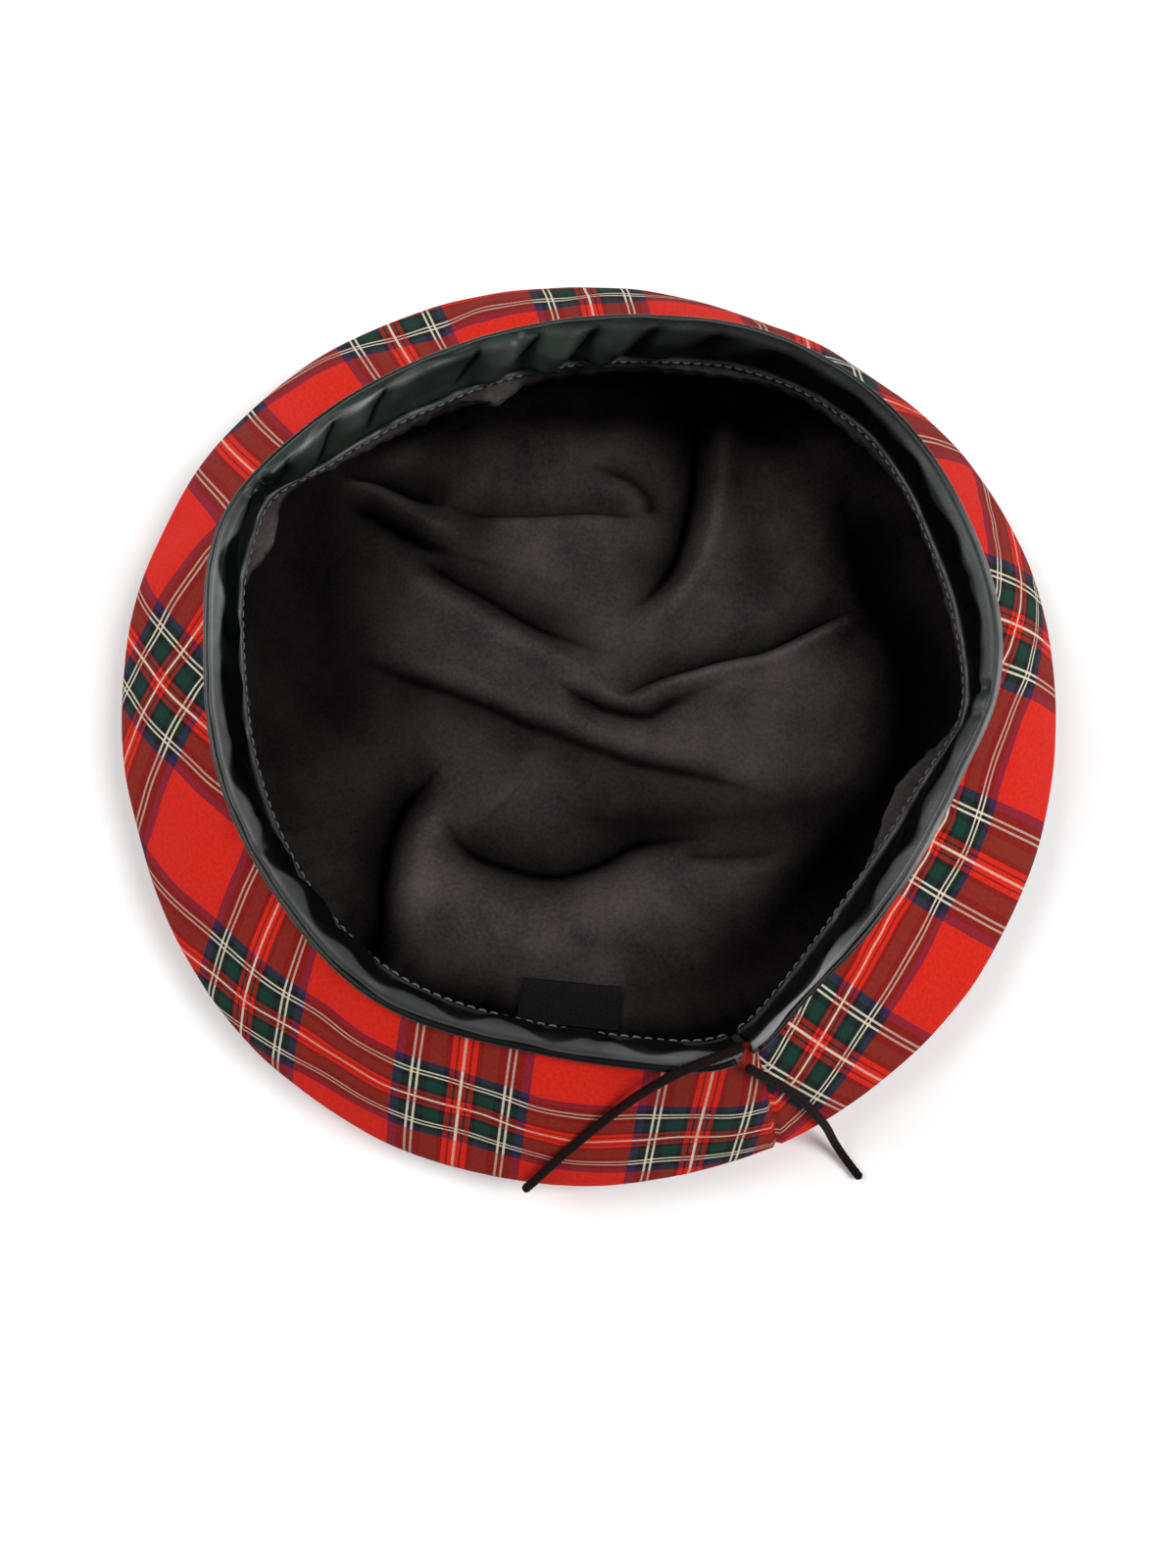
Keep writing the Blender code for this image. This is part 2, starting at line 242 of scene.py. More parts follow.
def linkMesh(name, mesh, weld=False):
    # merges doubled corners where asked, turns the faces outward, and puts the mesh in the scene
    bm = bmesh.new()
    bm.from_mesh(mesh)
    if weld:
        bmesh.ops.remove_doubles(bm, verts=bm.verts, dist=1e-7)
    if bm.calc_volume(signed=True) < 0.0:
        bmesh.ops.reverse_faces(bm, faces=bm.faces)
    bm.to_mesh(mesh)
    bm.free()
    mesh.polygons.foreach_set("use_smooth", np.ones(len(mesh.polygons), bool))
    mesh.update()
    piece = bpy.data.objects.new(name, mesh)
    bpy.context.scene.collection.objects.link(piece)
    return piece


def dress(piece, material, slotName, *nodes):
    # gives the piece its finish, its body and the solids that it stands for
    piece.data.materials.append(material)
    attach(piece, "root")
    if nodes:
        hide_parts(*nodes)
    print("made", piece.name, len(piece.data.polygons), "faces")


def startMaterial(name, **shaderValues):
    material = bpy.data.materials.new(name)
    material.use_nodes = True
    shader = material.node_tree.nodes["Principled BSDF"]
    for socket, value in shaderValues.items():
        shader.inputs[socket.replace("_", " ")].default_value = value
    return material, material.node_tree, shader


def addNode(tree, kind, sockets=None, **settings):
    # a node with its settings made and its sockets set to values or linked
    node = tree.nodes.new(kind)
    for name, value in settings.items():
        setattr(node, name, value)
    for name, value in (sockets or {}).items():
        if isinstance(value, bpy.types.NodeSocket):
            tree.links.new(value, node.inputs[name])
        else:
            node.inputs[name].default_value = value
    return node


def reckon(tree, operation, *values):
    # one Math node, its values numbers or sockets
    return addNode(tree, "ShaderNodeMath", dict(enumerate(values)), operation=operation).outputs[0]


def blendColours(tree, share, first, second, mode="MIX"):
    sockets = {0: share, 6: first, 7: second}
    return addNode(tree, "ShaderNodeMix", sockets, data_type="RGBA", blend_type=mode).outputs[2]


def rampOf(tree, share, stops, interpolation="CONSTANT"):
    node = addNode(tree, "ShaderNodeValToRGB", {"Fac": share})
    ramp = node.color_ramp
    ramp.interpolation = interpolation
    while len(ramp.elements) < len(stops):
        ramp.elements.new(0.5)
    for element, (place, colour) in zip(ramp.elements, stops):
        element.position = place
        element.color = (*colour, 1.0)
    return node.outputs["Color"]


def objectPlace(tree):
    return addNode(tree, "ShaderNodeTexCoord").outputs["Object"]


def clothPlace(tree):
    return addNode(tree, "ShaderNodeUVMap", uv_map="clothMap").outputs[0]


def axesOf(tree, place):
    return addNode(tree, "ShaderNodeSeparateXYZ", {0: place}).outputs


def noiseOf(tree, place, scale, detail):
    sockets = {"Vector": place, "Scale": scale, "Detail": detail}
    return addNode(tree, "ShaderNodeTexNoise", sockets).outputs["Fac"]


def rangeOf(tree, value, low, high, top=1.0):
    # low at 0 and high at top, straight between
    sockets = {"Value": value, "From Max": top, "To Min": low, "To Max": high}
    return addNode(tree, "ShaderNodeMapRange", sockets).outputs[0]


def darken(tree, colour, share):
    # the colour times a grey
    grey = addNode(tree, "ShaderNodeCombineColor", {0: share, 1: share, 2: share}).outputs[0]
    return blendColours(tree, 1.0, colour, grey, "MULTIPLY")


def coat(tree, shader, colour, relief, strength, depth):
    # gives the shader its colour and a bump from the relief, depth mm over its full range
    tree.links.new(colour, shader.inputs["Base Color"])
    sockets = {"Height": relief, "Strength": strength, "Distance": depth * mm}
    bump = addNode(tree, "ShaderNodeBump", sockets)
    tree.links.new(bump.outputs[0], shader.inputs["Normal"])


tartan = {
    "repeat": 62.0,
    "threads": 190,  # in one repeat
    # threads out from the middle of a block, mirrored there and in the middle of the red
    "ground": (
        (0, "red"), (4.4, "black"), (5.6, "red"), (10, "black"), (14, "green"), (26, "black"),
        (46, "navy"), (53, "red"),
    ),
    "lines": ((0, 1.0), (1.1, 0.0), (33.0, 1.0), (34.7, 0.0), (37.7, 1.0), (39.4, 0.0)),
    "red": (0.660, 0.019, 0.009),
    "green": (0.008, 0.039, 0.027),
    "navy": (0.040, 0.020, 0.072),
    "black": (0.010, 0.010, 0.011),
    "cream": (0.820, 0.720, 0.560),
    "twill": 0.42,  # how far the crossing threads differ
    "crossed": 0.30,  # how much darker red looks where the threads across it are dark
    "overDark": 0.78,  # how much of a cream line shows over a dark ground
    "overRed": 0.42,
}


def tartanCloth(s):
    # the same sett both ways over the cloth map: grounds blended by a fine twill and darkened where
    # red crosses a dark colour, then cream lines
    material, tree, shader = startMaterial(
        "tartanCloth", Roughness=0.9, IOR=1.4, Specular_IOR_Level=0.12
    )
    place = clothPlace(tree)
    scale = (1.0 / (s["repeat"] * mm),) * 3
    repeats = addNode(tree, "ShaderNodeMapping", {"Vector": place, "Scale": scale}).outputs[0]
    axes = axesOf(tree, repeats)
    grounds = [(2.0 * count / s["threads"], s[colour]) for count, colour in s["ground"]]
    lines = [(2.0 * count / s["threads"], (shown,) * 3) for count, shown in s["lines"]]
    halves = [
        reckon(tree, "MULTIPLY", reckon(tree, "PINGPONG", axes[axis], 0.5), 2.0) for axis in "XY"
    ]
    yarn = [rampOf(tree, half, grounds) for half in halves]
    line = [rampOf(tree, half, lines) for half in halves]
    across = reckon(tree, "ADD", axes["X"], axes["Y"])
    pick = reckon(tree, "FRACT", reckon(tree, "MULTIPLY", across, s["threads"] / 2.0))
    ridge = reckon(tree, "PINGPONG", reckon(tree, "MULTIPLY", pick, 2.0), 1.0)
    over = reckon(tree, "MULTIPLY_ADD", ridge, s["twill"], 0.5 - s["twill"] / 2.0)
    colour = blendColours(tree, over, yarn[0], yarn[1])
    redness = [addNode(tree, "ShaderNodeSeparateColor", {"Color": c}).outputs[0] for c in yarn]
    apart = reckon(tree, "ABSOLUTE", reckon(tree, "SUBTRACT", *redness))
    kept = reckon(tree, "MULTIPLY_ADD", apart, -s["crossed"] / s["red"][0], 1.0)
    colour = darken(tree, colour, kept)
    for mine, other in ((0, 1), (1, 0)):
        fall = (s["overRed"] - s["overDark"]) / s["red"][0]
        shown = reckon(tree, "MULTIPLY_ADD", redness[other], fall, s["overDark"])
        shown = reckon(tree, "MULTIPLY", shown, line[mine])
        colour = blendColours(tree, shown, colour, (*s["cream"], 1.0))
    fuzz = noiseOf(tree, place, 900.0, 3.0)
    shade = rampOf(tree, fuzz, ((0.25, (0.78,) * 3), (0.75, (1.12,) * 3)), "LINEAR")
    colour = blendColours(tree, 1.0, colour, shade, "MULTIPLY")
    relief = reckon(tree, "ADD", ridge, reckon(tree, "MULTIPLY", fuzz, 1.2))
    coat(tree, shader, colour, relief, 0.4, 0.10)
    return material


# the coating from the painted black shade of the valleys through the plain face to the edges,
# lighter partly from rubbing and partly from painted highlight
leatherCoat = (
    (0.00, (0.0008, 0.0012, 0.0010)),
    (0.40, (0.0045, 0.0080, 0.0060)),
    (0.56, (0.0165, 0.0310, 0.0230)),
    (0.66, (0.0330, 0.0370, 0.0345)),
    (0.80, (0.0730, 0.0790, 0.0750)),
    (1.00, (0.1920, 0.2050, 0.1970)),
)


def leatherLook(stops):
    # smooth coating coloured by its map's X, partly rubbed polish and partly painted highlight and
    # shade, which also sets its reflection, as green as its map's Y, with a fine pebble grain and
    # cloudy gloss
    material, tree, shader = startMaterial("leatherLook", IOR=1.5)
    place = objectPlace(tree)
    cloud = noiseOf(tree, place, 160.0, 4.0)
    pebble = addNode(tree, "ShaderNodeTexVoronoi", {"Vector": place, "Scale": 1500.0})
    strip = axesOf(tree, clothPlace(tree))
    polishAndPaintedLight = strip["X"]
    uneven = reckon(tree, "MULTIPLY_ADD", cloud, 0.16, reckon(tree, "SUBTRACT", polishAndPaintedLight, 0.08))
    sockets = {"Saturation": strip["Y"], "Color": rampOf(tree, uneven, stops, "LINEAR")}
    colour = addNode(tree, "ShaderNodeHueSaturation", sockets).outputs[0]
    coat(tree, shader, colour, pebble.outputs["Distance"], 0.25, 0.10)
    # painted shade dims the reflection, painted highlight and rubbing raise it
    shine = rangeOf(tree, polishAndPaintedLight, 0.02, 0.28, 0.4)
    tree.links.new(shine, shader.inputs["Specular IOR Level"])
    tree.links.new(rangeOf(tree, cloud, 0.30, 0.48), shader.inputs["Roughness"])
    return material


def liningSatinFinish():
    # dark taffeta darkened by the painted shade in its map's X, which also dims its reflection,
    # with very fine crossed ribs, a soft sheen and a few uneven threads
    material, tree, shader = startMaterial("liningSatin", IOR=1.45)
    place = objectPlace(tree)
    axes = axesOf(tree, place)
    ribs = [
        reckon(tree, "PINGPONG", reckon(tree, "MULTIPLY", axes[axis], count), 1.0)
        for axis, count in (("X", 4200.0), ("Y", 3400.0))
    ]
    cloud = noiseOf(tree, place, 60.0, 5.0)
    slub = noiseOf(tree, place, 900.0, 2.0)
    mottle = reckon(tree, "MULTIPLY_ADD", slub, 0.45, reckon(tree, "MULTIPLY", cloud, 0.65))
    dyes = ((0.35, (0.015, 0.0115, 0.0125)), (0.75, (0.046, 0.038, 0.0365)))
    # the painted shade of the folds and pockets, and the painted light on the sewn edge
    shade = axesOf(tree, clothPlace(tree))["X"]
    colour = darken(tree, rampOf(tree, mottle, dyes, "LINEAR"), shade)
    relief = reckon(tree, "ADD", reckon(tree, "MULTIPLY", *ribs), cloud)
    coat(tree, shader, colour, relief, 0.35, 0.08)
    tree.links.new(reckon(tree, "MULTIPLY", shade, 0.07), shader.inputs["Specular IOR Level"])
    tree.links.new(rangeOf(tree, cloud, 0.55, 0.70), shader.inputs["Roughness"])
    return material


def plainYarn(name, dark, light, scale, roughness):
    # spun thread: a fine mottle in one dark colour
    material, tree, shader = startMaterial(name, Roughness=roughness, Specular_IOR_Level=0.12)
    mottle = noiseOf(tree, objectPlace(tree), scale, 3.0)
    colour = rampOf(tree, mottle, ((0.3, dark), (0.7, light)), "LINEAR")
    coat(tree, shader, colour, mottle, 0.4, 0.08)
    return material


def labelWeave():
    # closely ribbed woven tape, left blank
    material, tree, shader = startMaterial("labelWeave", Roughness=0.7, Specular_IOR_Level=0.09)
    place = clothPlace(tree)
    across = axesOf(tree, place)["Y"]
    rib = reckon(tree, "PINGPONG", reckon(tree, "MULTIPLY", across, 3600.0), 1.0)
    grain = noiseOf(tree, place, 1400.0, 2.0)
    colour = rampOf(tree, grain, ((0.3, (0.002,) * 3), (0.7, (0.006,) * 3)), "LINEAR")
    coat(tree, shader, colour, reckon(tree, "ADD", rib, grain), 0.4, 0.10)
    return material


tartanFinish = tartanCloth(tartan)
leatherFinish = leatherLook(leatherCoat)
liningFinish = liningSatinFinish()
labelFinish = labelWeave()
cordFinish = plainYarn("cordYarn", (0.003, 0.0012, 0.0012), (0.011, 0.0032, 0.0027), 2200.0, 0.85)
threadFinish = plainYarn("stitchThread", (0.07, 0.075, 0.072), (0.19, 0.20, 0.193), 3000.0, 0.45)
print("finishes made")


outline = {  # every 20 degrees from azimuth 0
    "rim": (135.4, 136.8, 135.5, 132.4, 132.4, 133.3, 135.2, 136.8, 136.2,
            134.5, 132.9, 134.4, 135.4, 135.7, 135.4, 134.9, 134.4, 134.3),
    "mouth": (105.2, 105.4, 105.2, 102.6, 98.0, 96.0, 96.6, 99.4, 102.4,
              98.6, 98.4, 99.4, 102.5, 101.7, 104.9, 103.4, 99.2, 99.6),
    "height": (57.5, 57.0, 57.0, 56.5, 54.0, 52.0, 51.0, 52.0, 55.0,
               53.5, 54.0, 54.5, 56.5, 56.0, 57.5, 57.0, 54.0, 54.5),
    "flare": (-1.0, -0.5, 2.6, 1.5, 0.0, -0.2, -1.4, -0.6, 0.5,
              -0.6, -1.4, -0.4, -1.2, -0.6, -1.4, -2.0, -2.6, -1.0),
    # azimuth, out, up, flare, half width
    "corners": ((151, 0.0, 0.0, 4.5, 7), (289.5, 6.2, 2.2, 0.0, 10), (351, 1.0, 0.0, 3.0, 8)),
    # azimuth, how far the tartan reaches in where the roll narrows, half width
    "narrows": ((298, 2.2, 12),),
    "opening": 290.2,
    "openingWidth": 2.8,
    "bandDepth": 13.0,  # from the band's top to its foot
}


def rimAt(azimuth):
    return closedCurve(outline["rim"], azimuth)


def mouthAt(azimuth):
    return closedCurve(outline["mouth"], azimuth) + nearby(outline["corners"], azimuth, 1)


def heightAt(azimuth):
    return closedCurve(outline["height"], azimuth) + nearby(outline["corners"], azimuth, 2)


def flareAt(azimuth, drop):
    # the band's face leans out from 0.5 mm under its top, by its full flare at its foot
    lean = closedCurve(outline["flare"], azimuth) + nearby(outline["corners"], azimuth, 3)
    return lean * np.clip((-0.5 - drop) / outline["bandDepth"], 0.0, None)


def narrowAt(azimuth):
    return nearby(outline["narrows"], azimuth)


sideRing = {
    "flat": (0.28, 0.45),  # metres, as all the flat sizes are
    "flatArea": 0.0465,
    "around": 720,
    "rows": 64,
    "thickness": 1.5,
    # inset from the widest line and height, from the seam with the crown up past the widest line
    "turn": ((5.0, 7.55), (3.75, 7.25), (2.9, 7.75), (1.6, 9.25), (0.3, 12.0), (0.0, 14.5),
             (1.1, 17.6)),
    "widest": 5,  # the row of turn from which the cloth is measured
    "belly": 1.8,  # how far the cloth swells between the widest line and the band
    "taper": 0.3,  # how much less it does so near the band
    "slopeRows": 6,
    "underBand": 1.4,  # how far its edge lies under the band's
    "tuck": 0.6,
    # azimuth, depth, half width
    "dents": ((30, 1.4, 12), (76, 1.0, 11), (117, 1.8, 9), (158, 1.2, 12), (205, 1.0, 14),
              (246, 1.1, 11), (283, 1.8, 9), (318, 1.0, 12)),
    "seamGathers": 0.28,
    "bandGathers": 0.35,
    "slack": 0.55,
    "fineSlack": 0.16,
    "seam": 292.0,
    "seamDepth": 0.9,
    "seamWidth": 0.45,
    "seamRidge": 0.25,  # how far the cloth stands up beside it
}
# How the ring's cloth lies on the check: every 20 degrees from the seam, in repeats both ways, at
# the widest line and then 50 mm up the cloth. Whole numbers are the middles of the blocks.
sideCloth = {
    "step": 20.0,
    "upper": 50.0,
    "chart": (
        (0.30, -0.50, -0.30, -0.15), (0.60, 0.20, -0.05, 0.45), (0.75, 0.90, 0.00, 1.05),
        (0.70, 1.55, 0.05, 1.65), (0.30, 2.20, -0.30, 2.20), (-0.25, 2.75, -0.65, 2.75),
        (-0.75, 3.35, -0.95, 3.15), (-1.35, 3.80, -1.50, 3.45), (-2.05, 4.00, -2.10, 3.60),
        (-2.80, 4.00, -2.75, 3.60), (-3.55, 3.85, -3.40, 3.50), (-4.30, 3.70, -4.05, 3.35),
        (-5.00, 3.40, -4.55, 3.05), (-5.60, 2.95, -5.00, 2.65), (-6.00, 2.45, -5.35, 2.25),
        (-6.40, 1.80, -5.50, 1.65), (-6.55, 1.10, -5.50, 1.05), (-6.45, 0.35, -5.45, 0.45),
        (-6.25, -0.40, -5.35, -0.20),
    ),
}


def clothUnderSide(azimuth, slope, s):
    # flat place of the cloth: low (1 - t) + high t, both from curves round the hat, and
    # t = slope / upper
    chart = curveAt(s["chart"], (azimuth - sideRing["seam"]) / s["step"])
    t = (slope / s["upper"])[..., None]
    return (chart[..., :2] * (1.0 - t) + chart[..., 2:] * t) * tartan["repeat"]


def sideOutside(azimuth, s):
    # the outer face: a curve through the turn's points, then a line to the band with a sine belly
    rim = rimAt(azimuth)
    turn = [paired(rim - inset, height) for inset, height in s["turn"]]
    start = turn[-1]
    edge = paired(mouthAt(azimuth) - narrowAt(azimuth), heightAt(azimuth))
    slope = unit(edge - start)
    outward = paired(slope[..., 1], -slope[..., 0])
    under = edge - outward * s["underBand"]
    belly = (s["belly"] - nearby(s["dents"], azimuth))[:, None]
    for t in np.arange(1, s["slopeRows"] + 1) / s["slopeRows"]:
        swell = belly * math.sin(math.pi * t) * (1.0 - s["taper"] * t)
        turn.append(start + (under - start) * t + outward * swell)
    turn.append(under + slope * s["tuck"])
    return np.stack(turn)


def makeSideRing(s, cut):
    azimuth = s["seam"] + allRound(s["around"])
    knots = sideOutside(azimuth, s)
    finer = 12
    fine = openCurve(knots, finer * (len(knots) - 1) + 1)
    place, goal, reach = evenRows(fine, s["rows"])
    height = goal - reach[finer * s["widest"]]
    outside = spin(place, azimuth)
    normal = gridNormals(outside, True, False)
    down = height[-1] - height  # how far under the band
    nearSeam = smoothStep(1.0, -7.0, height) * smoothStep(-8.5, -5.0, height)
    nearBand = smoothStep(16.0, 0.0, down) * smoothStep(0.0, 3.0, down)
    soft = np.sin(np.pi * np.clip((height + 4.0) / (height[-1] + 4.0), 0.0, 1.0))
    push = s["seamGathers"] * ripple(azimuth, 60, 130, 9, 3) * nearSeam
    push += s["bandGathers"] * ripple(azimuth, 30, 80, 8, 5) * nearBand
    push += s["slack"] * ripple(azimuth + 0.10 * height, 7, 20, 7, 7) * soft
    push += s["fineSlack"] * ripple(azimuth - 0.25 * height, 24, 50, 9, 11) * soft
    gap = turnFrom(azimuth, s["seam"]) * np.radians(1.0) * place[..., 0]
    valley = bell(gap, s["seamWidth"]) * smoothStep(-8.0, -5.0, height)
    ridge = bell(np.abs(gap) - 1.8, 1.1) * soft
    push += s["seamRidge"] * ridge - s["seamDepth"] * valley
    outside = outside + normal * push[..., None]
    inside = outside[::-4] - gridNormals(outside, True, False)[::-4] * s["thickness"]
    points = np.concatenate([outside, inside])
    wide = np.concatenate([azimuth, [s["seam"] + 360.0]])
    tall = np.concatenate([height, height[:, :1]], axis=1)
    face = clothUnderSide(wide, tall, cut)
    uv = np.concatenate([face, face[::-4], face[:1]])
    piece = gridPiece("sideRingCloth", points, True, True, uv)
    dress(piece, tartanFinish, "tartan_cloth", "side_ring")


makeSideRing(sideRing, sideCloth)


crown = {
    "flat": (0.266, 0.266),
    "flatArea": 0.0555,
    "around": 540,
    "flatRows": 20,
    "turnRows": 36,
    # inset from the widest line and height: the outer face out to the seam, then the inner face
    "turn": ((27.0, 0.05), (18.0, 0.8), (11.0, 2.2), (5.5, 4.6), (4.1, 6.05), (4.15, 6.75),
             (5.4, 6.75)),
    "inner": ((27.0, 1.5), (18.4, 2.25), (11.8, 3.6), (7.1, 5.6), (5.9, 6.7)),
    "seamGathers": 0.30,
    "slack": 0.45,
    "checkTurned": 12.0,
}


def crownSection(rim, turn, s):
    # straight out from the middle to the first point of the turn, then a curve through the rest
    bend = np.stack([paired(rim - inset, up) for inset, up in turn])
    t = np.linspace(0.0, 1.0, s["flatRows"], endpoint=False)[:, None]
    flat = paired(bend[0, :, 0] * t, turn[0][1])
    return np.concatenate([flat, openCurve(bend, s["turnRows"])])


def makeCrown(s):
    # a flat disc whose edge turns up to the seam: rows run out over the outer face and back inside
    azimuth = allRound(s["around"])
    rim = rimAt(azimuth)
    outer, inner = crownSection(rim, s["turn"], s), crownSection(rim, s["inner"], s)
    outer[..., 1] = np.maximum(outer[..., 1], s["turn"][0][1])
    outside = spin(outer, azimuth)
    inset = rim - outer[..., 0]
    lift = s["seamGathers"] * ripple(azimuth, 60, 130, 9, 13) * smoothStep(16.0, 5.0, inset)
    lift += s["slack"] * ripple(azimuth, 7, 24, 6, 17) * smoothStep(30.0, 12.0, inset)
    outside = outside + gridNormals(outside, True, False) * lift[..., None]
    outside[..., 2] = np.maximum(outside[..., 2], s["turn"][0][1])
    points = np.concatenate([outside, spin(inner, azimuth)[::-1]])
    turned = math.radians(s["checkTurned"])
    wide = np.concatenate([points, points[:, :1]], axis=1)
    x, y, along, across = wide[..., 0], wide[..., 1], math.cos(turned), math.sin(turned)
    uv = paired(x * along + y * across, y * along - x * across)
    piece = gridPiece("crownCloth", points, True, False, uv, weld=True)
    dress(piece, tartanFinish, "tartan_cloth", "crown")


makeCrown(crown)


headband = {
    "flat": (0.023, 0.64),
    "around": 770,
    "rows": 64,
    "thickness": 1.0,
    # in and up from the lower outer edge: the flat-topped roll, the face, the hem and the foot
    "section": ((1.0, -0.9), (0.9, 0.6), (1.3, 1.8), (2.2, 2.45), (3.6, 2.35), (4.7, 1.7),
                (5.2, 0.2), (5.3, -3.0), (5.2, -6.5), (5.0, -10.0), (5.0, -11.3), (5.8, -11.9),
                (6.0, -12.6), (5.3, -13.5)),
    # azimuth, how far the roll's top slopes down inwards, half width
    "sloped": ((2, 1.7, 44),),
    "rollPuckers": 0.14,
    "gathers": 2.0,
    # azimuth, how much fuller the gathers are, half width
    "fullest": ((72, 1.6, 30), (118, 2.6, 26), (20, 0.8, 24)),
    "plain": 0.42,  # the coating's base value, rubbing and painted light alike, where nothing below changes it
    "plainGreen": 0.30,  # how much of its green shows
    "green": ((122, 0.75, 42), (178, 0.35, 18)),  # azimuth, how much more, half width
    "scallops": 1.4,  # how unevenly a patch ends over the section
    # azimuth, half width, where it starts and ends over the section, how much lighter or darker:
    # the roll, partly rubbed and partly a painted highlight, the painted highlight on the outer
    # edge, the painted shade on the face and the painted light on the hem
    "polishAndPaintedLightPatches": (
        (170, 16, 1.2, 6.4, 0.36), (200, 24, 1.2, 6.2, 0.27), (232, 22, 1.2, 6.0, 0.13),
        (262, 18, 1.2, 6.0, 0.20), (281, 9, 1.2, 6.2, 0.24), (299, 12, 1.8, 6.0, 0.59),
        (326, 14, 1.2, 6.4, 0.24), (2, 34, 1.2, 6.8, 0.13), (140, 14, 1.2, 6.0, 0.10),
        (190, 48, 6.6, 19.2, -0.38), (262, 40, 6.4, 19.2, -0.28), (330, 32, 7.2, 19.2, -0.34),
        (24, 34, 7.4, 19.2, -0.34), (46, 14, 1.2, 19.2, -0.10), (76, 20, 4.0, 19.2, -0.12),
        (126, 26, 5.0, 19.0, 0.22),
        (0, 34, 20.4, 22.1, 0.24), (52, 34, 20.4, 22.2, 0.22), (112, 34, 20.3, 22.4, 0.32),
        (174, 30, 20.3, 22.4, 0.42), (222, 26, 20.3, 22.4, 0.20), (318, 22, 20.3, 22.4, 0.34),
    ),
    # azimuth, how much painted highlight the tops of the face's puffs take, half width
    "paintedLight": ((136, 0.27, 20), (110, 0.20, 16), (86, 0.13, 14), (68, 0.08, 12)),
    "faceDull": 0.39,  # how much less rubbing and painted light the face can take than the roll
    "finePuckers": 0.38,
    "footPuckers": 0.14,
    # azimuth, depth, half width in degrees: where the roll is creased across
    "creases": ((151.5, 2.2, 1.0), (155.0, 0.8, 0.8), (353.5, 1.3, 1.0), (349.5, 0.6, 0.8),
                (102.0, 0.5, 0.9), (214.0, 0.5, 0.9)),
}


def bandSection(azimuth, inset, drop):
    # (mouth - inset + flare at that drop, height + drop)
    radius = mouthAt(azimuth) - inset + flareAt(azimuth, drop)
    return paired(radius, heightAt(azimuth) + drop)


def pastOpening(half, count):
    # count azimuths round the hat, from half degrees past the opening to as far before it
    return np.linspace(outline["opening"] + half, outline["opening"] + 360.0 - half, count)


def bandPolishAndPaintedLight(azimuth, reach, puffs, s):
    # plain + each patch, a bell round its azimuth between its two ends over the section, and on
    # the face the tops of the puffs lighter as a painted highlight and the valleys between them
    # black as painted shade
    total = np.full(puffs.shape, s["plain"])
    wobble = s["scallops"] * ripple(azimuth, 16, 34, 7, 61)
    uneven = reach + wobble * smoothStep(2.4, 4.0, reach) * smoothStep(12.0, 8.0, reach)
    for centre, width, start, stop, amount in s["polishAndPaintedLightPatches"]:
        begun = smoothStep(start - 0.3, start + 0.3, uneven)
        left = smoothStep(stop + 0.35, stop - 0.35, uneven)
        total += amount * bell(turnFrom(azimuth, centre), width) * begun * left
    face = smoothStep(4.5, 6.5, reach) * smoothStep(19.0, 15.0, reach)
    # painted highlight on the tops of the puffs and painted black shade in the valleys between them
    paintedLight = nearby(s["paintedLight"], azimuth) * face
    total += paintedLight * (np.clip(puffs + 0.42, -0.1, 0.8) - 1.3 * smoothStep(-0.16, -0.35, puffs))
    return np.clip(total, 0.0, 1.0 - s["faceDull"] * face * smoothStep(6.2, 7.8, reach))


def greenAt(azimuth):
    return headband["plainGreen"] + nearby(headband["green"], azimuth)


def makeHeadband(s):
    mouth = mouthAt(np.array([outline["opening"]]))[0]
    azimuth = pastOpening(math.degrees(outline["openingWidth"] / 2.0 / mouth), s["around"])
    section = openCurve(s["section"], s["rows"])
    inset, drop = section[:, :1], section[:, 1:]
    inset = inset + narrowAt(azimuth) * smoothStep(5.0, 0.0, inset) * smoothStep(-1.5, 0.5, drop)
    slope = nearby(s["sloped"], azimuth) * smoothStep(0.8, 4.8, inset) * smoothStep(-4.0, 0.0, drop)
    outside = spin(bandSection(azimuth, inset, drop - slope), azimuth)
    normal = gridNormals(outside, True, False)
    # 0 at the outer edge, 1 from the middle of the roll inwards
    over = smoothStep(0.5, 3.5, inset) + smoothStep(1.5, -1.0, drop) * (inset > 3.0)
    over = np.clip(over, 0.0, 1.0)
    face = smoothStep(3.0, -2.5, drop) * smoothStep(-11.8, -7.0, drop) * over
    foot = smoothStep(-9.0, -12.0, drop)
    # gathers: puffs |wave| with sharp valleys between, fullest a little under the roll
    puffs = np.abs(ripple(azimuth + 0.45 * drop, 14, 27, 6, 23)) - 0.36
    push = (s["gathers"] + nearby(s["fullest"], azimuth)) * puffs * face
    push += s["finePuckers"] * ripple(azimuth + 0.7 * drop, 30, 75, 9, 25) * face
    push += s["rollPuckers"] * ripple(azimuth, 14, 60, 9, 21) * (1.0 - foot)
    push += s["footPuckers"] * ripple(azimuth, 50, 110, 9, 27) * foot
    push -= nearby(s["creases"], azimuth) * over * (1.0 - foot)
    outside = outside + normal * push[..., None]
    outside[..., 2] += 0.25 * ripple(azimuth, 12, 40, 7, 29) * foot
    inside = outside[::-1] - gridNormals(outside, False, False)[::-1] * s["thickness"]
    points = np.concatenate([outside, inside])
    # the map's X holds the rubbing and the painted highlight and shade, its Y how green
    polishAndPaintedLight = bandPolishAndPaintedLight(azimuth, reachAlong(section)[:, None], puffs, s)
    strip = paired(polishAndPaintedLight, greenAt(azimuth)) / mm
    strip = np.concatenate([strip, strip[::-1], strip[:1]])
    piece = gridPiece("headbandRoll", points, False, True, strip, caps=True)
    dress(piece, leatherFinish, "leather_look", "headband")
    return outside


